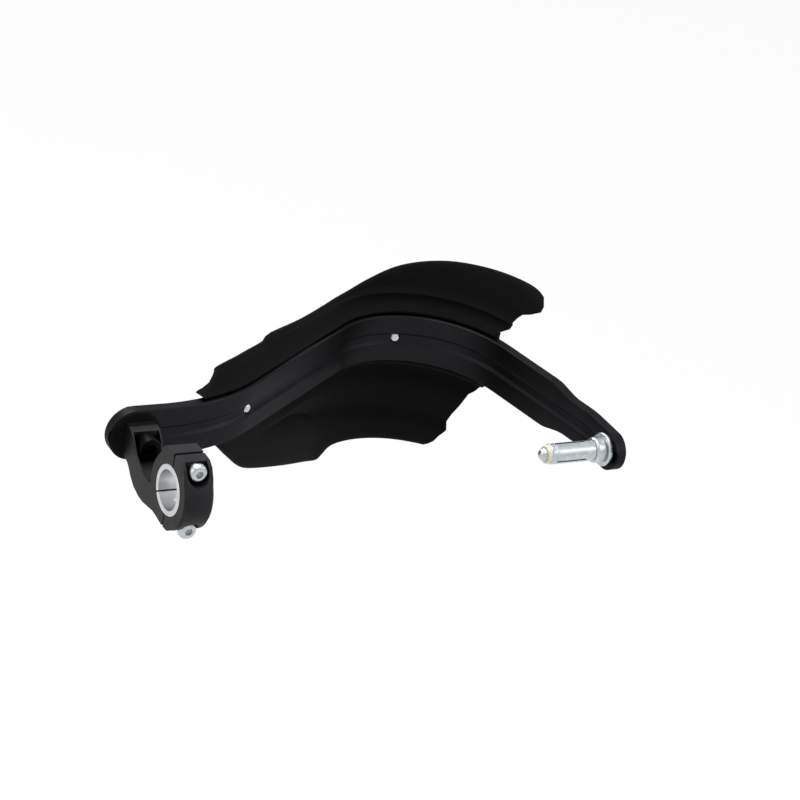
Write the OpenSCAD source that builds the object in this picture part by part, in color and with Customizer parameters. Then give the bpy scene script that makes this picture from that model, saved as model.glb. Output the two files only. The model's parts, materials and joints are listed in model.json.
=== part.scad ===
// Right-hand motorcycle hand guard: bar, moulded shield, handlebar clamp and bar-end plug.
// Units are millimetres. The origin is the centre of the handlebar bore in the clamp.
// X runs along the handlebar to its end, Y forward, away from the rider, and Z up.

/* [Bar] */
// Width of the bar from edge to edge
bar_w = 30.5; // [29:0.5:33]
// Thickness of the bar
bar_t = 6.4; // [6:0.1:6.8]
// Chamfer on the long edges of the bar
bar_edge = 0.6; // [0.3:0.1:0.9]
// Width of the groove in the rear face at its mouth
groove_w = 9; // [6:0.5:11]
// Depth of the groove in the rear face
groove_depth = 1.5; // [0.8:0.1:2.2]
// Distance of the bar's rear face in front of the handlebar axis
bar_y = 57; // [57:0.1:60]
// Angle of the sloping middle run
rise_angle = 33; // [32:0.5:34]
// Radius of the first bend, measured on the rear face
bend_in_r = 119; // [117:1:121]
// Radius of the large outer bend, measured on the rear face
bend_out_r = 57; // [55:0.5:58]
// Length of the sloping middle run
middle_run = 104.9; // [103.9:0.5:105.9]
// Width of the bar at its outer end
tip_w = 22.4; // [21.6:0.2:24]

/* [Clamp] */
// Width of the clamp along the handlebar
clamp_w = 17; // [15:0.5:19]
// Outer radius of the clamp ring
ring_r = 21.5; // [21:0.1:22.4]
// Outer radius of the split bush
bush_r = 14.3; // [13.9:0.1:14.4]
// Bore radius of the bush, a 22.2 mm handlebar
bore_r = 11.1; // [10.9:0.05:11.2]
// Width of the slit in the bush
bush_slit = 0.8; // [0.5:0.1:2]
// Gap between the saddle and the cap
cap_gap = 1; // [0.6:0.1:2]
// Distance of each clamp screw from the bore axis
screw_z = 17.5; // [17.4:0.1:17.8]
// Shank radius of the clamp screws
screw_r = 2.5; // [2:0.1:2.5]
// Shank radius of the arm bolt
arm_r = 4; // [3:0.5:4]

/* [Bar-end plug] */
// Outer radius of the slotted sleeve
sleeve_r = 6; // [5.5:0.1:6.6]
// Bolt radius, an M8
bolt_r = 4; // [3.5:0.1:4]
// Radius of the flange washer against the bar
flange_r = 9.8; // [9:0.1:10.5]
// Radius of the collar
collar_r = 7.5; // [7:0.1:8.5]
// Length of the sleeve
sleeve_len = 26; // [23:0.5:26.5]
// Width of the three slots in the sleeve
slot_w = 1.2; // [0.8:0.1:2]

/* [Shield] */
// Wall thickness of the shield
wall = 2.8; // [2.4:0.1:3.2]
// Gap between the bar and the shield's channel
shield_gap = 0.5; // [0.4:0.1:0.7]
// Distance of the channel's lips in front of the bar's rear face
lip_n = 2.3; // [1.8:0.1:2.8]
// Shank radius of the shield screws, an M6
fix_r = 3; // [2.5:0.5:3]
// Radius of the shield washers
fix_washer_r = 8; // [7:0.5:8.5]

/* [Hidden] */
$fn = 96;
run_fit = 0.05;
free_fit = 0.3;

// Path of the rear face in plan, by distance s from x0, just outside the rounded inner end.
end_angle = -78;
inner_cx = -2.1;
x0 = inner_cx - bar_w / 2 - 1.15;
run_in = 33;
s1 = run_in;
s2 = s1 + bend_in_r * rise_angle * PI / 180;
s3 = s2 + middle_run;
s4 = s3 + bend_out_r * (rise_angle - end_angle) * PI / 180;
run_out = 71.6;
last_r = 50;
s5 = s4 + run_out;
p1 = [x0 + run_in, bar_y];
c1 = p1 + [0, bend_in_r];
p2 = c1 + bend_in_r * [sin(rise_angle), -cos(rise_angle)];
p3 = p2 + middle_run * [cos(rise_angle), sin(rise_angle)];
c2 = p3 + bend_out_r * [sin(rise_angle), -cos(rise_angle)];
p4 = c2 + bend_out_r * [-sin(end_angle), cos(end_angle)];
p5 = p4 + run_out * [cos(end_angle), sin(end_angle)];
c3 = p5 + last_r * [sin(end_angle), -cos(end_angle)];
p6 = c3 + [last_r, 0];
tip_y = -13.2;
flat_x = p6[0];
face_x = flat_x + bar_t;

// The path as [x, y, heading].
function path(s) =
    s <= s1 ? [x0 + s, bar_y, 0]
    : s <= s2 ? let (a = (s - s1) / bend_in_r * 180 / PI)
        [c1[0] + bend_in_r * sin(a), c1[1] - bend_in_r * cos(a), a]
    : s <= s3 ? let (d = s - s2)
        [p2[0] + d * cos(rise_angle), p2[1] + d * sin(rise_angle), rise_angle]
    : s <= s4 ? let (a = rise_angle - (s - s3) / bend_out_r * 180 / PI)
        [c2[0] - bend_out_r * sin(a), c2[1] + bend_out_r * cos(a), a]
    : let (d = s - s4)
        [p4[0] + d * cos(end_angle), p4[1] + d * sin(end_angle), end_angle];
// A point n in front of the rear face at distance s and height z.
function at(s, n, z) = let (p = path(s)) [p[0] - n * sin(p[2]), p[1] + n * cos(p[2]), z];

// Section of the bar as (n, z).
module bar_section(out = 1) {
    h = bar_w / 2;
    g = groove_w / 2;
    polygon([for (p = [[bar_edge, -h], [bar_t - bar_edge, -h], [bar_t, -h + bar_edge],
        [bar_t, h - bar_edge], [bar_t - bar_edge, h], [bar_edge, h], [0, h - bar_edge],
        [0, g], [0.4, g - 0.8], [groove_depth, g - 2.4], [groove_depth, -g + 2.4],
        [0.4, -g + 0.8], [0, -g], [0, -h + bar_edge]]) [out * p[0], p[1]]]);
}
// Straight runs reach a hair into the bends, so that the bar is one solid.
seam = 0.3;
module run(p, heading, length) {
    translate([p[0], p[1], 0])
        rotate([0, 0, heading])
            translate([-seam, 0, 0])
                rotate([90, 0, 90])
                    linear_extrude(length + 2 * seam)
                        bar_section();
}
module bend(c, r, from, to, out) {
    translate([c[0], c[1], 0])
        rotate([0, 0, from])
            rotate_extrude(angle = to - from)
                translate([r, 0])
                    bar_section(out);
}
module along_n(s, n) {
    p = path(s);
    translate(at(s, n, 0))
        rotate([0, 0, p[2]])
            rotate([-90, 0, 0])
                children();
}
module along_x(x) {
    translate([x, 0, 0])
        rotate([0, 90, 0])
            children();
}
module along_y(x, y, z) {
    translate([x, y, z])
        rotate([-90, 0, 0])
            children();
}

// Places of the two shield screws along the path.
fix_in = 97.8;
fix_out = 249;
arm_x = 0;

module bar() {
    h = bar_w / 2;
    t = tip_w / 2;
    color("#1c1c1e")
        difference() {
            union() {
                intersection() {
                    run([x0, bar_y], 0, run_in);
                    union() {
                        along_y(inner_cx, bar_y - 1, 0)
                            cylinder(r = h, h = bar_t + 2);
                        translate([inner_cx, bar_y - 1, -h - 1])
                            cube([run_in, bar_t + 2, bar_w + 2]);
                    }
                }
                bend(c1, bend_in_r, -90, rise_angle - 90, -1);
                run(p2, rise_angle, middle_run);
                bend(c2, bend_out_r, 90 + end_angle, 90 + rise_angle, 1);
                intersection() {
                    union() {
                        run(p4, end_angle, run_out);
                        bend(c3, last_r, 0, 90 + end_angle, 1);
                        run(p6, -90, p6[1] - tip_y);
                    }
                    along_x(p4[0] - 10)
                        linear_extrude(60)
                            rotate(90)
                                union() {
                                    polygon([[tip_y + t, -t], [38, -t], [42, -t - 0.6],
                                        [47, -t - 1.9], [51, -t - 3], [56, -h + 0.2],
                                        [60, -h - 1], [100, -h - 1], [100, h + 1], [60, h + 1],
                                        [56, h - 0.2], [51, t + 3], [47, t + 1.9],
                                        [42, t + 0.6], [38, t], [tip_y + t, t]]);
                                    translate([tip_y + t, 0])
                                        circle(r = t);
                                }
                }
            }
            along_x(flat_x - 1)
                cylinder(r = bolt_r + 0.2, h = bar_t + 2);
            along_y(arm_x, bar_y - 1, 0)
                cylinder(r = arm_r + 0.2, h = bar_t + 2);
            along_n(fix_in, -1)
                cylinder(r = fix_r + run_fit, h = bar_t + 2);
            along_n(fix_out, -1)
                cylinder(r = fix_r + run_fit, h = bar_t + 2);
        }
}

// Smooth curve through a table of [s, value] pairs.
function place(s, t, i = 0) = (i >= len(t) - 2 || s < t[i + 1][0]) ? i : place(s, t, i + 1);
function slope(t, i) = let (a = max(i - 1, 0), b = min(i + 1, len(t) - 1))
    (t[b][1] - t[a][1]) / (t[b][0] - t[a][0]);
function curve(s, t) = let (i = place(s, t), h = t[i + 1][0] - t[i][0],
    u = max(0, min(1, (s - t[i][0]) / h)), a = slope(t, i) * h, b = slope(t, i + 1) * h)
    t[i][1] * (1 + u * u * (2 * u - 3)) + t[i + 1][1] * u * u * (3 - 2 * u)
    + a * u * (1 - u) * (1 - u) - b * u * u * (1 - u);

// Height of the upper edge and depth of the lower edge along the path.
top_edge = [[70, 25.2], [76, 27.6], [86, 29], [104, 29.2], [118, 28.7], [126, 28.8], [128.5, 30.8],
    [136, 31.1], [152, 29.6], [174, 27.9], [204, 27.9], [218, 29.5], [231, 34.3], [248, 41.4],
    [268, 46.6], [286, 49], [306, 50.4], [316, 50.3], [326, 48]];
low_edge = [[83, -22.6], [88, -25.6], [105, -38.6], [120, -50.4], [130, -56.4], [150, -64.3],
    [186, -76.7], [206, -82.9], [216, -86.2], [220, -86.4], [225, -81], [230, -78.4], [250, -76.2],
    [280, -75]];
// Line of the crease in the lower wing, and how strongly each form shows.
crease_line = [[120, -34], [157, -36], [183, -41.5], [205, -50], [235, -55.5], [290, -57.5]];
ridge_part = [[195, 0], [235, 1]];
crease_part = [[130, 0], [170, 1]];

// Rows of the section, from the upper edge to the lower. plain and formed are n without and with
// the ridges, and start and stop are the row's ends along the path.
plain = [11.6, 11.4, 11.3, 11.2, 11.1, 10.8, 10.2, 9.5, 8.3, 6.6, 4.8, 3.4];
formed = [0, 0, 0, 0, 0, 0, 11, 8.2, 9.5, 8.4, 4.6, 3.2];
lower = [9.1, 9.3, 7.9, 8.7, 9.2, 10.4, 7.8, 8.3, 8.7, 9.2, 10.6, 11];
smooth_low = [9.1, 9.1, 9.0, 9.0, 9.0, 9.1, 9.1, 9.1, 9.2, 9.3, 10.6, 11];
up_start = [76.5, 76, 75.5, 75, 74.5, 74, 73.5, 72.5, 70.5, 66.5, 62, 58.5];
up_stop = [320, 322.5, 326, 326, 321.5, 315, 312.5, 312, 311.5, 311, 308.5, 306.5];
low_stop = [302.5, 299.5, 297, 293.5, 290, 288, 289.5, 286.5, 284.5, 282, 279.5, 278.5];
channel = let (f = bar_t + shield_gap, b = bar_w / 2 + 0.8, w = f + wall)
    [[lip_n, b + 1.4, w, b + 1], [lip_n, b + 0.4, w, b + 0.2], [lip_n + 0.6, b, w, b - 0.8],
    [f, b, w, b - 2], [f, 5, w, 5], [f, -5, w, -5], [f, -b, w, -b + 2],
    [lip_n + 0.6, -b, w, -b + 0.8], [lip_n, -b - 0.4, w, -b - 0.2], [lip_n, -b - 1.6, w, -b - 1.2],
    [lip_n + 0.9, -b - 2.6, w - 0.4, -b - 2.4]];
rows_up = len(plain);
rows_mid = len(channel);
rows_low = len(lower);
rows = rows_up + rows_mid + rows_low;

function lean(z) = 0.12 * max(0, z - 29.5) + 0.010 * pow(max(0, z - 29.5), 2);
function up_z(j, s) = let (t = curve(s, top_edge), v = min(29.5, 24.5 + (t - 24.5) * 0.6))
    j == 0 ? t : j == 1 ? t - 0.7 : j <= 5 ? t - 0.7 - (t - 0.7 - v) * (j - 1) / 5
    : j == 6 ? v : j == 7 ? min(26.8, 24.5 + (t - 24.5) * 0.35) : j == 8 ? 24.3 : j == 9 ? 21.6
    : j == 10 ? 19.4 : 18;
function up_n(j, s) = let (k = curve(s, ridge_part), z = up_z(j, s))
    plain[j] * (1 - k) + k * (j <= 5 ? 11 + lean(z) : formed[j]) + (1 - k) * lean(z);
function low_z(j, s) = let (e = curve(s, low_edge), c = curve(s, crease_line),
    z = j == 0 ? -22 : j == 1 ? -27.5 : j == 2 ? -30.2 : j == 3 ? min(-33, c * 0.7)
    : j == 4 ? min(-35, c * 0.85) : j == 5 ? c + 2 : j == 6 ? c - 2
    : j == 7 ? c - 2 + (e - c + 5) * 0.4 : j == 8 ? c - 2 + (e - c + 5) * 0.75
    : j == 9 ? e + 3.2 : j == 10 ? e + 0.8 : e)
    max(z, e + 0.33 * (rows_low - 1 - j));
function low_n(j, s) = let (k = curve(s, crease_part)) smooth_low[j] * (1 - k) + k * lower[j];

function row_start(j) = j < rows_up ? up_start[j]
    : j < rows_up + rows_mid ? 57.5 + 24 * (j - rows_up) / (rows_mid - 1) : 83;
function row_stop(j) = j < rows_up ? up_stop[j]
    : j < rows_up + rows_mid ? 307 : low_stop[j - rows_up - rows_mid];
// Distance along the path of station q on row j: the ends of the rows differ.
lead_in = 58;
lead_out = 326;
function row_s(q, j) = q < 125 ? row_start(j) + (q - lead_in) * (125 - row_start(j)) / (125 - lead_in)
    : q > 262 ? 262 + (q - 262) * (row_stop(j) - 262) / (lead_out - 262) : q;
stations = [for (q = [58:4.4:124]) q, 126, 128.5, for (q = [134:9:198]) q, for (q = [204:2.65:326.5])
    min(q, 326)];
function rear(j, s) = j < rows_up
    ? [up_n(j, s) + (j == 0 ? 0.9 : 0), up_z(j, s)]
    : j < rows_up + rows_mid ? [channel[j - rows_up][0], channel[j - rows_up][1]]
    : let (i = j - rows_up - rows_mid) [low_n(i, s) + (i == rows_low - 1 ? 0.9 : 0), low_z(i, s)];
function front(j, s) = j < rows_up
    ? [j == 0 ? up_n(j, s) + wall - 0.9
        : j < 9 ? up_n(j, s) + wall
        : max(up_n(j, s) + wall, bar_t + shield_gap + wall - [0.5, 0.4, 0.1][j - 9]), up_z(j, s)]
    : j < rows_up + rows_mid ? [channel[j - rows_up][2], channel[j - rows_up][3]]
    : let (i = j - rows_up - rows_mid)
        [low_n(i, s) + wall - (i == rows_low - 1 ? 0.9 : 0), low_z(i, s)];
shield_points = [for (q = stations, j = [0:rows - 1], k = [0, 1])
    let (s = row_s(q, j), p = k == 0 ? rear(j, s) : front(j, s)) at(s, p[0], p[1])];
function id(i, j, k) = (i * rows + j) * 2 + k;
last = len(stations) - 1;
shield_faces = [
    for (i = [0:last - 1], j = [0:rows - 2]) each [
        [id(i, j, 0), id(i + 1, j, 0), id(i + 1, j + 1, 0)],
        [id(i, j, 0), id(i + 1, j + 1, 0), id(i, j + 1, 0)],
        [id(i, j, 1), id(i + 1, j + 1, 1), id(i + 1, j, 1)],
        [id(i, j, 1), id(i, j + 1, 1), id(i + 1, j + 1, 1)]],
    for (i = [0:last - 1]) each [
        [id(i, 0, 0), id(i + 1, 0, 1), id(i + 1, 0, 0)],
        [id(i, 0, 0), id(i, 0, 1), id(i + 1, 0, 1)],
        [id(i, rows - 1, 0), id(i + 1, rows - 1, 0), id(i + 1, rows - 1, 1)],
        [id(i, rows - 1, 0), id(i + 1, rows - 1, 1), id(i, rows - 1, 1)]],
    for (j = [0:rows - 2]) each [
        [id(0, j, 0), id(0, j + 1, 0), id(0, j + 1, 1)],
        [id(0, j, 0), id(0, j + 1, 1), id(0, j, 1)],
        [id(last, j, 0), id(last, j + 1, 1), id(last, j + 1, 0)],
        [id(last, j, 0), id(last, j, 1), id(last, j + 1, 1)]]];

boss_n = bar_t + shield_gap + wall + 0.9;
module shield() {
    color("#161617")
        difference() {
            union() {
                polyhedron(points = shield_points, faces = shield_faces, convexity = 8);
                along_n(fix_in, boss_n - 2.5)
                    cylinder(r = fix_washer_r + 1.2, h = 2.5);
                along_n(fix_out, boss_n - 2.5)
                    cylinder(r = fix_washer_r + 1.2, h = 2.5);
            }
            along_n(fix_in, bar_t - 2)
                cylinder(r = fix_r + free_fit, h = 12);
            along_n(fix_out, bar_t - 2)
                cylinder(r = fix_r + free_fit, h = 12);
        }
}

// A round body along its axis, from a list of [distance, radius] corners, with a bore.
module turned(bore, corners) {
    n = len(corners);
    rotate_extrude()
        polygon(concat([[bore, corners[0][0]]], [for (c = corners) [c[1], c[0]]],
            [[bore, corners[n - 1][0]]]));
}
module hex_recess(across, depth) {
    translate([0, 0, -0.01])
        cylinder(r = across / sqrt(3), h = depth + 0.01, $fn = 6);
}

module shield_screw(s) {
    head = boss_n + washer_t;
    color("#b9bcbf")
        along_n(s, 0)
            difference() {
                turned(0, [[0.9, 0], [0.9, fix_r - 0.9], [1.8, fix_r], [head, fix_r], [head, 5.5],
                    [head + 1.4, 5.3], [head + 2.6, 4.3], [head + 3.3, 2.8], [head + 3.3, 0]]);
                translate([0, 0, head + 3.3])
                    mirror([0, 0, 1])
                        hex_recess(4, 2.2);
            }
}
module shield_washer(s) {
    color("#a9acaf")
        along_n(s, boss_n)
            turned(fix_r + 0.2, [[0, fix_washer_r - 0.2], [0.3, fix_washer_r],
                [washer_t - 0.4, fix_washer_r], [washer_t, fix_washer_r - 0.4]]);
}
washer_t = 1.4;
module shield_screw_inner() {
    shield_screw(fix_in);
}
module shield_screw_outer() {
    shield_screw(fix_out);
}
module shield_washer_inner() {
    shield_washer(fix_in);
}
module shield_washer_outer() {
    shield_washer(fix_out);
}

// Clamp: outline of the arm in the (Y, Z) plane.
pad_t = 0.8;
lug_y = bar_y - pad_t - free_fit;
half_w = clamp_w / 2;
split_y = -1.2;
clamp_r = bush_r + run_fit;
rocker_r = 10;
rocker_y = bar_y + 4;
module slab(from, to) {
    translate([from, 0, 0])
        rotate([90, 0, 90])
            linear_extrude(to - from)
                children();
}
module ring() {
    along_x(0)
        turned(0, [[-half_w, 0], [-half_w, ring_r - 1.3], [-half_w + 1.3, ring_r],
            [half_w - 1.3, ring_r], [half_w, ring_r - 1.3], [half_w, 0]]);
}
module screw_holes(r, from, to) {
    along_y(0, from, screw_z)
        cylinder(r = r, h = to - from);
    along_y(0, from, -screw_z)
        cylinder(r = r, h = to - from);
}
module clamp_saddle() {
    color("#242426")
        difference() {
            union() {
                ring();
                slab(-half_w, half_w)
                    polygon([[0, 22.4], [8.6, 22.4], [12, 20.2], [13.6, 17.2], [14.9, 13], [15.6, 8],
                        [16, 4], [16.4, 0], [17.3, -4], [19.6, -7.2], [23.6, -7.8], [27.6, -7.6],
                        [31.3, -6.9], [35.9, -5], [40.4, -2], [43.6, 1.1], [47, 4.6], [50.2, 7.2],
                        [53.7, 7.9], [lug_y, 5.7], [lug_y, -9.7], [54.9, -10.2], [52.5, -11], [49, -11.4],
                        [46.1, -13.5], [42.9, -16.4], [37.4, -19.9], [30.1, -21.8], [24.7, -22],
                        [17.2, -20.9], [12.4, -20], [7.4, -20.4], [0, -21.5]]);
            }
            translate([-half_w - 1, -30, -30])
                cube([clamp_w + 2, 30 + split_y + cap_gap / 2, 60]);
            along_x(-half_w - 1)
                cylinder(r = clamp_r, h = clamp_w + 2);
            screw_holes(screw_r + run_fit, split_y, 14);
            along_y(arm_x, 30, 0)
                cylinder(r = arm_r + 0.2, h = 30);
            translate([arm_x - half_w + cheek, 31, -slot_z])
                cube([clamp_w - 2 * cheek, arm_seat - 31, slot_z + 14]);
            along_x(-half_w - 1)
                translate([0, rocker_y, 0])
                    cylinder(r = rocker_r + run_fit, h = clamp_w + 2);
        }
}
module clamp_cap() {
    color("#1f1f21")
        difference() {
            union() {
                ring();
                slab(-half_w, half_w)
                    polygon([[0, 22.4], [-8.5, 22], [-12.6, 19.4], [-15.6, 14.6], [-17.8, 9], [-18, 0],
                        [-17.8, -8], [-15, -14.5], [-10.5, -18.6], [-6.5, -21.2], [0, -21.5]]);
            }
            translate([-half_w - 1, split_y - cap_gap / 2, -30])
                cube([clamp_w + 2, 40, 60]);
            along_x(-half_w - 1)
                cylinder(r = clamp_r, h = clamp_w + 2);
            screw_holes(screw_r + 0.15, -30, 1);
            for (k = [-1, 1])
                along_y(0, -30, k * screw_z)
                    cylinder(r = pocket_r, h = 30 + seat_y);
            translate([-pocket_r, -30, screw_z])
                cube([2 * pocket_r, 30 + seat_y, 20]);
        }
}
module clamp_bush() {
    color("#c9cccf")
        along_x(0)
            difference() {
                turned(bore_r, [[-half_w, bush_r - 0.4], [-half_w + 0.4, bush_r],
                    [half_w - 0.4, bush_r], [half_w, bush_r - 0.4]]);
                rotate([0, 0, -33])
                    translate([-bush_slit / 2, 0, -half_w - 1])
                        cube([bush_slit, 20, clamp_w + 2]);
            }
}
seat_y = -8.6;
pocket_r = 6.4;
module clamp_screw(z) {
    end = seat_y - 7;
    color("#b9bcbf")
        along_y(0, 0, z)
            difference() {
                turned(0, [[end, 0], [end, 3.2], [end + 0.6, 4.4], [end + 1.6, 5], [end + 3.2, 5.2],
                    [end + 3.9, 4.9], [end + 4.8, 3.7], [seat_y, 3.6], [seat_y, screw_r],
                    [12.2, screw_r], [13, screw_r - 0.8], [13, 0]]);
                translate([0, 0, end])
                    hex_recess(4, 2.6);
            }
}
module clamp_screw_upper() {
    clamp_screw(screw_z);
}
module clamp_screw_lower() {
    clamp_screw(-screw_z);
}

arm_seat = 49.5;
arm_head = 9.4;
cheek = 0.9;
slot_z = 6.9;
module arm_bolt() {
    start = arm_seat - arm_head;
    end = bar_y + bar_t + 8.8;
    color("#19191b")
        along_y(arm_x, 0, 0)
            difference() {
                turned(0, [[start, 0], [start, 5.9], [start + 0.6, 6.5], [arm_seat, 6.5],
                    [arm_seat, arm_r], [end - 0.8, arm_r], [end, arm_r - 0.8], [end, 0]]);
                translate([0, 0, start])
                    hex_recess(6, 4.5);
            }
}
module arm_nut() {
    color("#b9bcbf")
        along_y(arm_x, bar_y + bar_t, 0)
            difference() {
                union() {
                    cylinder(r = 8.5, h = 1.6);
                    cylinder(r = 6.5 * 2 / sqrt(3), h = 7, $fn = 6);
                }
                translate([0, 0, -1])
                    cylinder(r = arm_r + run_fit, h = 10);
            }
}
module pivot_pad() {
    r = bar_w / 2 - 0.6;
    color("#141415")
        difference() {
            union() {
                along_y(inner_cx, bar_y - pad_t, 0)
                    turned(0, [[0, 0], [0, r - 0.3], [0.3, r], [pad_t, r], [pad_t, 0]]);
                intersection() {
                    along_x(-half_w)
                        translate([0, rocker_y, 0])
                            cylinder(r = rocker_r, h = clamp_w);
                    translate([-half_w, rocker_y - 20, -rocker_r])
                        cube([clamp_w, 20 - 4 - pad_t / 2, 2 * rocker_r]);
                }
            }
            along_y(arm_x, bar_y - 20, 0)
                cylinder(r = arm_r + 0.2, h = 30);
        }
}

// Bar-end plug, built along X from the bar inwards.
flange_t = 2.7;
collar_t = 6.3;
flange_x = flat_x - flange_t;
collar_x = flange_x - collar_t;
sleeve_x = collar_x - sleeve_len;
module flange_washer() {
    color("#c2c4c6")
        along_x(flange_x)
            turned(bolt_r + 0.2, [[0, flange_r - 0.6], [0.6, flange_r], [flange_t - 0.4, flange_r],
                [flange_t, flange_r - 0.4]]);
}
module collar() {
    color("#b9bcbf")
        along_x(collar_x)
            turned(bolt_r + 0.2, [[0, collar_r - 1], [1, collar_r], [collar_t - 0.5, collar_r],
                [collar_t, collar_r - 0.5]]);
}
module expansion_sleeve() {
    color("#aeb1b4")
        along_x(sleeve_x)
            difference() {
                turned(bolt_r + 0.4, [[0, sleeve_r - 0.3], [0.3, sleeve_r], [sleeve_len - 0.3, sleeve_r],
                    [sleeve_len, sleeve_r - 0.3]]);
                for (a = [slot_turn:120:359])
                    rotate([0, 0, a])
                        translate([-slot_w / 2, 0, -1])
                            cube([slot_w, 20, sleeve_len - 5]);
            }
}
nut_t = 3.8;
ring_t = 2.2;
slot_turn = 82;
module cone_nut() {
    color("#b9bcbf")
        along_x(sleeve_x - nut_t)
            turned(bolt_r + run_fit, [[0, sleeve_r - 0.5], [0.4, sleeve_r - 0.15],
                [nut_t - 0.2, sleeve_r - 0.05], [nut_t, sleeve_r - 0.25]]);
}
module lock_ring() {
    color("#d8d2bd")
        along_x(sleeve_x - nut_t - ring_t)
            turned(bolt_r + run_fit, [[0, sleeve_r - 1.1], [0.5, sleeve_r - 0.6],
                [ring_t, sleeve_r - 0.5]]);
}
module bar_end_bolt() {
    head_x = face_x + 1.2;
    tip_x = sleeve_x - nut_t - ring_t - 3.8;
    color("#b9bcbf")
        difference() {
            along_x(0)
                turned(0, [[tip_x, 0], [tip_x + 0.2, 1.2], [tip_x + 0.8, 2.4], [tip_x + 2, 3.4],
                    [tip_x + 3.2, bolt_r], [head_x, bolt_r], [head_x, 7], [head_x + 1, 7],
                    [head_x + 2.6, 6.3], [head_x + 3.8, 5], [head_x + 4.4, 3.6], [head_x + 4.4, 0]]);
            along_x(head_x + 4.4)
                mirror([0, 0, 1])
                    hex_recess(5, 2.8);
        }
}
module bar_end_washer() {
    color("#a9acaf")
        along_x(face_x)
            turned(bolt_r + 0.2, [[0, 8], [0.9, 8], [1.2, 7.7]]);
}

bar();
shield();
clamp_saddle();
clamp_cap();
clamp_bush();
clamp_screw_upper();
clamp_screw_lower();
arm_bolt();
pivot_pad();
arm_nut();
shield_screw_inner();
shield_screw_outer();
shield_washer_inner();
shield_washer_outer();
bar_end_bolt();
bar_end_washer();
flange_washer();
collar();
expansion_sleeve();
lock_ring();
cone_nut();
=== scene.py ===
import bpy, math, json
from mathutils import Vector, Matrix


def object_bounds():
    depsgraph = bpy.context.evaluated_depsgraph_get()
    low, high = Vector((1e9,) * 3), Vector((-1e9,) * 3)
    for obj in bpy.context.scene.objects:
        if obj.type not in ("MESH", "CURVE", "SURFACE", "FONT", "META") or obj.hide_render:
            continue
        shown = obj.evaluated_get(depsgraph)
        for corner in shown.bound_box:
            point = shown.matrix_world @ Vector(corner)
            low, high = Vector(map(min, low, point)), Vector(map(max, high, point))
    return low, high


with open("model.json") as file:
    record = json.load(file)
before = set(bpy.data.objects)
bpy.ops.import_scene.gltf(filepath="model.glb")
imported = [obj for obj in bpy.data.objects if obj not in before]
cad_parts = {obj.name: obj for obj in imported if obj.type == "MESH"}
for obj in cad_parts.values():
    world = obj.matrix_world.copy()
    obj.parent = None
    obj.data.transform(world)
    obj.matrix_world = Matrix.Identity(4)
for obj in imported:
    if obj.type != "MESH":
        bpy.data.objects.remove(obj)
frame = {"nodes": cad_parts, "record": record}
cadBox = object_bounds()
nodes = frame["nodes"]
mm = 0.001

# camera: fitted to the clamp bore, the bar's edges and the bar-end plug in the picture
cameraSetup = {
    "place": (-653.2, -1132.4, 743.9),
    "right": (0.8609, -0.4695, 0.1959),
    "up": (0.0693, 0.4896, 0.8692),
    "lens": 127.8,
}


def makeCamera(s):
    data = bpy.data.cameras.new("studioCamera")
    data.lens, data.sensor_width = s["lens"], 36
    data.clip_start, data.clip_end = 0.05, 20
    cam = bpy.data.objects.new("studioCamera", data)
    bpy.context.scene.collection.objects.link(cam)
    r, u = Vector(s["right"]).normalized(), Vector(s["up"]).normalized()
    b = r.cross(u).normalized()
    u = b.cross(r)
    m = Matrix((r, u, b)).transposed().to_4x4()
    m.translation = Vector(s["place"]) * mm
    cam.matrix_world = m
    bpy.context.scene.camera = cam


makeCamera(cameraSetup)
print("camera set")


# sRGB hex to linear
def hexColour(text):
    c = [int(text[i:i + 2], 16) / 255 for i in (1, 3, 5)]
    return tuple(v / 12.92 if v <= 0.04045 else ((v + 0.055) / 1.055) ** 2.4 for v in c) + (1,)


# one helper: a node with its values and links
def addNode(tree, kind, links=None, **values):
    n = tree.nodes.new(kind)
    sockets = {}
    for k, v in values.items():
        if hasattr(n, k) and k not in ("inputs",):
            setattr(n, k, v)
        else:
            sockets[k] = v
    for k, v in sockets.items():
        n.inputs[k.replace("_", " ") if k.replace("_", " ") in n.inputs else k].default_value = v
    for k, v in (links or {}).items():
        tree.links.new(v, n.inputs[k])
    return n


def newMaterial(name):
    m = bpy.data.materials.new(name)
    m.use_nodes = True
    t = m.node_tree
    t.nodes.clear()
    out = t.nodes.new("ShaderNodeOutputMaterial")
    shader = t.nodes.new("ShaderNodeBsdfPrincipled")
    t.links.new(shader.outputs[0], out.inputs[0])
    return m, t, shader


def setShader(shader, **values):
    for k, v in values.items():
        shader.inputs[k.replace("_", " ")].default_value = v


def ramp(tree, fac, stops):
    n = addNode(tree, "ShaderNodeValToRGB", {"Fac": fac})
    e = n.color_ramp.elements
    while len(e) < len(stops):
        e.new(0.5)
    for i, (p, c) in enumerate(stops):
        e[i].position, e[i].color = p, c
    return n.outputs["Color"]


def between(tree, fac, low, high):
    return addNode(tree, "ShaderNodeMapRange", {"Value": fac}, **{"To Min": low, "To Max": high}).outputs[0]


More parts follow.
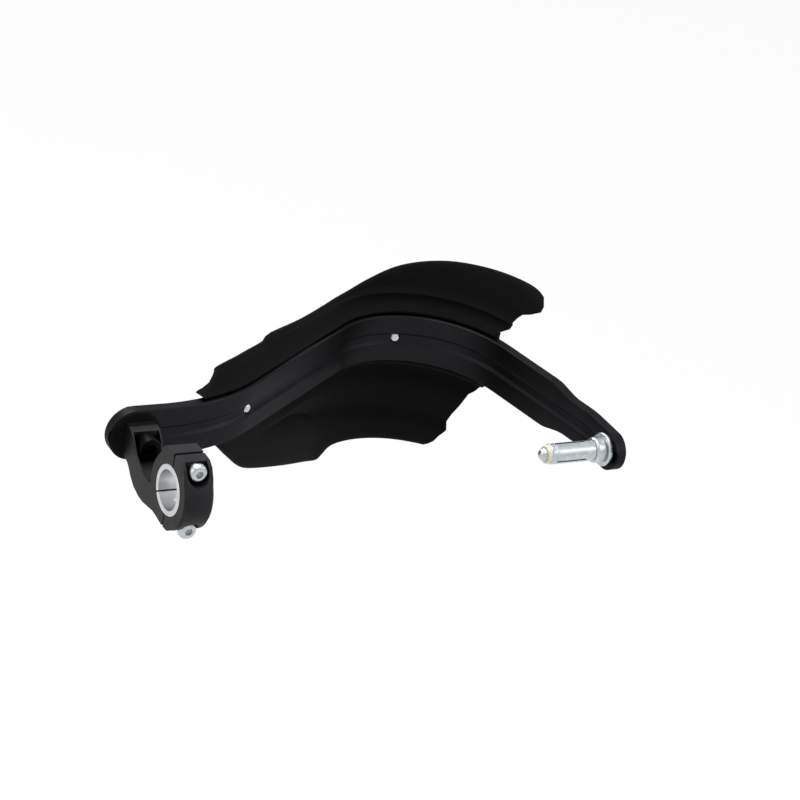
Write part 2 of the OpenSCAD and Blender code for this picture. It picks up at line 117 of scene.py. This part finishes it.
# black anodised bar: extruded aluminium, brushed along its length, then dyed and sealed.
# Die lines about 0.6 mm apart, drawn coarser than the real 0.2 mm so they show.
def blackAnodised():
    m, t, s = newMaterial("blackAnodisedAluminium")
    co = addNode(t, "ShaderNodeTexCoord").outputs["Object"]
    grain = addNode(t, "ShaderNodeTexNoise", {"Vector": co}, Scale=900, Detail=4, Roughness=0.6)
    cloud = addNode(t, "ShaderNodeTexNoise", {"Vector": co}, Scale=30, Detail=4, Roughness=0.6)
    stretch = addNode(t, "ShaderNodeMapping", {"Vector": co}, Scale=(30, 30, 1600))
    lines = addNode(t, "ShaderNodeTexNoise", {"Vector": stretch.outputs[0]}, Scale=1, Detail=3)
    t.links.new(ramp(t, cloud.outputs["Fac"], [(0.3, hexColour("#212123")), (0.7, hexColour("#272729"))]),
                s.inputs["Base Color"])
    t.links.new(between(t, lines.outputs["Fac"], 0.36, 0.52), s.inputs["Roughness"])
    bump = addNode(t, "ShaderNodeBump", {"Height": grain.outputs["Fac"]}, Strength=0.12, Distance=0.0001)
    t.links.new(bump.outputs[0], s.inputs["Normal"])
    # the dyed oxide keeps the edge sheen low
    setShader(s, Metallic=1.0, Specular_Tint=hexColour("#d2d2d4"))
    return m


# matte moulded plastic: polypropylene with a fine spark-eroded grain of about 0.7 mm
def mouldedPlastic():
    m, t, s = newMaterial("blackMouldedPlastic")
    co = addNode(t, "ShaderNodeTexCoord").outputs["Object"]
    grain = addNode(t, "ShaderNodeTexNoise", {"Vector": co}, Scale=1400, Detail=3, Roughness=0.55)
    cloud = addNode(t, "ShaderNodeTexNoise", {"Vector": co}, Scale=14, Detail=4)
    t.links.new(ramp(t, cloud.outputs["Fac"], [(0.3, hexColour("#0a0a0a")), (0.7, hexColour("#0e0e0f"))]),
                s.inputs["Base Color"])
    t.links.new(between(t, cloud.outputs["Fac"], 0.78, 0.9), s.inputs["Roughness"])
    bump = addNode(t, "ShaderNodeBump", {"Height": grain.outputs["Fac"]}, Strength=0.22, Distance=0.0002)
    t.links.new(bump.outputs[0], s.inputs["Normal"])
    setShader(s, IOR=1.18)
    return m


# black anodised cast aluminium, bead blasted: a dull, even skin with 0.5 mm grit marks
def blastedBlack(name="blackBlastedAluminium", low="#2a2a2c", high="#343436"):
    m, t, s = newMaterial(name)
    co = addNode(t, "ShaderNodeTexCoord").outputs["Object"]
    grit = addNode(t, "ShaderNodeTexNoise", {"Vector": co}, Scale=1800, Detail=2, Roughness=0.7)
    cloud = addNode(t, "ShaderNodeTexNoise", {"Vector": co}, Scale=60, Detail=3)
    t.links.new(ramp(t, cloud.outputs["Fac"], [(0.3, hexColour(low)), (0.7, hexColour(high))]),
                s.inputs["Base Color"])
    t.links.new(between(t, grit.outputs["Fac"], 0.44, 0.6), s.inputs["Roughness"])
    bump = addNode(t, "ShaderNodeBump", {"Height": grit.outputs["Fac"]}, Strength=0.28, Distance=0.0001)
    t.links.new(bump.outputs[0], s.inputs["Normal"])
    setShader(s, Metallic=1.0)
    return m


# turned bare aluminium: rings left by the tool around the bore, drawn at 0.5 mm
def turnedAluminium():
    m, t, s = newMaterial("turnedAluminium")
    co = addNode(t, "ShaderNodeTexCoord").outputs["Object"]
    split = addNode(t, "ShaderNodeSeparateXYZ", {"Vector": co})
    flat = addNode(t, "ShaderNodeCombineXYZ", {"X": split.outputs["Y"], "Y": split.outputs["Z"]})
    far = addNode(t, "ShaderNodeVectorMath", {0: flat.outputs[0]}, operation="LENGTH")
    both = addNode(t, "ShaderNodeCombineXYZ", {"X": far.outputs["Value"], "Y": split.outputs["X"]})
    rings = addNode(t, "ShaderNodeTexNoise", {"Vector": both.outputs[0]}, Scale=2200, Detail=2)
    cloud = addNode(t, "ShaderNodeTexNoise", {"Vector": co}, Scale=160, Detail=3)
    t.links.new(ramp(t, cloud.outputs["Fac"], [(0.3, hexColour("#c4c6c8")), (0.7, hexColour("#d4d6d7"))]),
                s.inputs["Base Color"])
    t.links.new(between(t, rings.outputs["Fac"], 0.24, 0.42), s.inputs["Roughness"])
    bump = addNode(t, "ShaderNodeBump", {"Height": rings.outputs["Fac"]}, Strength=0.15, Distance=0.00005)
    t.links.new(bump.outputs[0], s.inputs["Normal"])
    setShader(s, Metallic=1.0)
    return m


# clear zinc plate on steel: cool and slightly blue, with a soft uneven bloom
def zincPlate(name="zincPlatedSteel", low="#b2b9bc", high="#d0d5d8"):
    m, t, s = newMaterial(name)
    co = addNode(t, "ShaderNodeTexCoord").outputs["Object"]
    bloom = addNode(t, "ShaderNodeTexNoise", {"Vector": co}, Scale=420, Detail=4, Roughness=0.65)
    fine = addNode(t, "ShaderNodeTexNoise", {"Vector": co}, Scale=2600, Detail=2)
    t.links.new(ramp(t, bloom.outputs["Fac"], [(0.32, hexColour(low)), (0.68, hexColour(high))]),
                s.inputs["Base Color"])
    t.links.new(between(t, bloom.outputs["Fac"], 0.2, 0.42), s.inputs["Roughness"])
    bump = addNode(t, "ShaderNodeBump", {"Height": fine.outputs["Fac"]}, Strength=0.12, Distance=0.00005)
    t.links.new(bump.outputs[0], s.inputs["Normal"])
    setShader(s, Metallic=1.0)
    return m


# black oxide on a steel socket screw: thin, slightly oily, brownish black
def blackOxide():
    m, t, s = newMaterial("blackOxideSteel")
    co = addNode(t, "ShaderNodeTexCoord").outputs["Object"]
    wear = addNode(t, "ShaderNodeTexNoise", {"Vector": co}, Scale=500, Detail=3)
    t.links.new(ramp(t, wear.outputs["Fac"], [(0.3, hexColour("#0d0d0c")), (0.7, hexColour("#151413"))]),
                s.inputs["Base Color"])
    t.links.new(between(t, wear.outputs["Fac"], 0.3, 0.46), s.inputs["Roughness"])
    setShader(s, Metallic=1.0)
    return m


# near-black, low-reflecting matte finish of the rocker pad, darker than the clamp, with a slightly cloudy
# skin
def darkPadFinish():
    m, t, s = newMaterial("darkPadFinish")
    co = addNode(t, "ShaderNodeTexCoord").outputs["Object"]
    cloud = addNode(t, "ShaderNodeTexNoise", {"Vector": co}, Scale=90, Detail=3)
    t.links.new(ramp(t, cloud.outputs["Fac"], [(0.3, hexColour("#080808")), (0.7, hexColour("#0e0e0e"))]),
                s.inputs["Base Color"])
    t.links.new(between(t, cloud.outputs["Fac"], 0.7, 0.82), s.inputs["Roughness"])
    setShader(s, IOR=1.2)
    return m


# cream nylon: a waxy insert that lets a little light in
def creamNylon():
    m, t, s = newMaterial("creamNylon")
    co = addNode(t, "ShaderNodeTexCoord").outputs["Object"]
    tone = addNode(t, "ShaderNodeTexNoise", {"Vector": co}, Scale=300, Detail=2)
    t.links.new(ramp(t, tone.outputs["Fac"], [(0.3, hexColour("#e4ddc2")), (0.7, hexColour("#ece7d2"))]),
                s.inputs["Base Color"])
    setShader(s, Roughness=0.4)
    return m


finishes = {
    "black_anodised": blackAnodised(),
    "black_plastic": mouldedPlastic(),
    "black_clamp": blastedBlack(),
    "bare_aluminium": turnedAluminium(),
    "zinc": zincPlate(),
    "black_oxide": blackOxide(),
    "black_nylon": darkPadFinish(),
    "nylon": creamNylon(),
}
print("finishes made:", len(finishes))


def dress(obj, material):
    obj.data.materials.clear()
    obj.data.materials.append(material)


# one node group that shades faces smooth and keeps edges over an angle sharp
def smoothGroup(name, degrees):
    g = bpy.data.node_groups.new(name, "GeometryNodeTree")
    g.interface.new_socket("Geometry", in_out="INPUT", socket_type="NodeSocketGeometry")
    g.interface.new_socket("Geometry", in_out="OUTPUT", socket_type="NodeSocketGeometry")
    start, end = g.nodes.new("NodeGroupInput"), g.nodes.new("NodeGroupOutput")
    turn = g.nodes.new("GeometryNodeInputMeshEdgeAngle")
    soft = addNode(g, "FunctionNodeCompare", {"A": turn.outputs[0]}, operation="LESS_EQUAL",
                   B=math.radians(degrees))
    faces = addNode(g, "GeometryNodeSetShadeSmooth", {"Geometry": start.outputs[0]}, domain="FACE")
    edges = addNode(g, "GeometryNodeSetShadeSmooth",
                    {"Geometry": faces.outputs[0], "Shade Smooth": soft.outputs[0]}, domain="EDGE")
    g.links.new(edges.outputs[0], end.inputs[0])
    return g


# shading: edges over the angle stay sharp; metres and degrees
shading = {"turnedEdge": 38, "shellEdge": 48, "weldDistance": 1e-6, "flattenAngle": 0.6, "bevelAngle": 32}
smoothEdges = smoothGroup("smoothEdges", shading["turnedEdge"])
smoothShell = smoothGroup("smoothShell", shading["shellEdge"])


def shade(obj, group):
    obj.modifiers.new("shading", "NODES").node_group = group


def weldPoints(obj):
    obj.modifiers.new("weld", "WELD").merge_threshold = shading["weldDistance"]


# break the sharp edges of a piece and shade its round faces smooth
def soften(obj, width, segments=3):
    weldPoints(obj)
    flat = obj.modifiers.new("flatten", "DECIMATE")
    flat.decimate_type, flat.angle_limit = "DISSOLVE", math.radians(shading["flattenAngle"])
    b = obj.modifiers.new("edges", "BEVEL")
    b.width, b.segments = width * mm, segments
    b.limit_method, b.angle_limit = "ANGLE", math.radians(shading["bevelAngle"])
    b.use_clamp_overlap = True
    shade(obj, smoothEdges)
    obj.modifiers.new("faces", "WEIGHTED_NORMAL").keep_sharp = True


# edge break of each piece, in mm
edgeBreak = {
    "bar": 0.35, "clamp_saddle": 0.7, "clamp_cap": 0.7, "clamp_bush": 0.15, "pivot_pad": 0.3,
    "arm_bolt": 0.2, "arm_nut": 0.3, "clamp_screw_upper": 0.12,
    "clamp_screw_lower": 0.12, "shield_screw_inner": 0.12, "shield_screw_outer": 0.12,
    "shield_washer_inner": 0.2, "shield_washer_outer": 0.2, "bar_end_bolt": 0.2,
    "bar_end_washer": 0.2, "flange_washer": 0.25, "collar": 0.25, "expansion_sleeve": 0.12,
    "lock_ring": 0.2, "cone_nut": 0.15,
}
slotOf = {p["node"]: p["material_slot"] for p in frame["record"]["subparts"]}
for name, obj in nodes.items():
    dress(obj, finishes[slotOf[name]])
    if name in edgeBreak:
        soften(obj, edgeBreak[name])
    elif name == "shield":
        weldPoints(obj)
        shade(obj, smoothShell)
print("nodes dressed:", len(nodes))


# studio: pale floor well below the guard, soft boxes above, at the sides and in front
studio = {
    "floorDrop": 0.30,
    "floorSize": 12,
    "floorColour": "#f2f2f2",
    "floorGlow": 0.92,  # the share of white that the camera sees, so that the shadow stays
    "worldLow": 0.30,
    "worldHigh": 0.75,
    "lamps": [  # name, place and aim in metres, size in metres, watts
        ("overhead", (0.0, 0.25, 1.3), (0.1, 0.05, 0.0), 1.2, 16),
        ("leftSide", (-1.3, 0.1, 0.5), (0.1, 0.05, 0.0), 0.9, 3),
        ("rightSide", (1.2, -0.5, 0.6), (0.1, 0.05, 0.0), 0.8, 4),
        ("frontSide", (0.0, 1.3, 0.75), (0.1, 0.05, 0.0), 0.6, 6),
    ],
}


# 1 for the rays that show the pale backdrop: camera, glossy and transmission
def showsBackdrop(t):
    path = addNode(t, "ShaderNodeLightPath")
    seen = addNode(t, "ShaderNodeMath", {0: path.outputs["Is Camera Ray"], 1: path.outputs["Is Glossy Ray"]},
                   operation="MAXIMUM")
    return addNode(t, "ShaderNodeMath", {0: seen.outputs[0], 1: path.outputs["Is Transmission Ray"]},
                   operation="MAXIMUM").outputs[0]


def makeStudio(s):
    low = min(cadBox[0].z, 0) - s["floorDrop"]
    mesh = bpy.data.meshes.new("studioFloor")
    h = s["floorSize"] / 2
    mesh.from_pydata([(-h, -h, low), (h, -h, low), (h, h, low), (-h, h, low)], [], [(0, 1, 2, 3)])
    floor = bpy.data.objects.new("studioFloor", mesh)
    bpy.context.scene.collection.objects.link(floor)
    m, t, shader = newMaterial("paleFloor")
    setShader(shader, Base_Color=hexColour(s["floorColour"]), Roughness=0.8)
    part = addNode(t, "ShaderNodeMath", {0: showsBackdrop(t)}, operation="MULTIPLY")
    part.inputs[1].default_value = s["floorGlow"]
    glow = addNode(t, "ShaderNodeEmission", Strength=1.0)
    mix = addNode(t, "ShaderNodeMixShader", {0: part.outputs[0], 1: shader.outputs[0], 2: glow.outputs[0]})
    t.links.new(mix.outputs[0], t.nodes["Material Output"].inputs[0])
    mesh.materials.append(m)

    world = bpy.data.worlds.new("studioWorld")
    bpy.context.scene.world = world
    world.use_nodes = True
    t = world.node_tree
    t.nodes.clear()
    co = addNode(t, "ShaderNodeTexCoord").outputs["Generated"]
    up = addNode(t, "ShaderNodeSeparateXYZ", {"Vector": co})
    grey = between(t, up.outputs["Z"], s["worldLow"], s["worldHigh"])
    back = addNode(t, "ShaderNodeBackground", {"Strength": grey})
    white = addNode(t, "ShaderNodeBackground", Strength=1.0)
    seen = addNode(t, "ShaderNodeMixShader", {0: showsBackdrop(t), 1: back.outputs[0], 2: white.outputs[0]})
    out = t.nodes.new("ShaderNodeOutputWorld")
    t.links.new(seen.outputs[0], out.inputs[0])

    for name, place, aim, size, power in s["lamps"]:
        data = bpy.data.lights.new(name, "AREA")
        data.shape, data.size, data.energy = "SQUARE", size, power
        lamp = bpy.data.objects.new(name, data)
        lamp.location = place
        lamp.rotation_mode = "QUATERNION"
        lamp.rotation_quaternion = (Vector(aim) - Vector(place)).to_track_quat("-Z", "Y")
        bpy.context.scene.collection.objects.link(lamp)


makeStudio(studio)
bpy.context.scene.view_settings.view_transform = "Standard"
print("studio set")
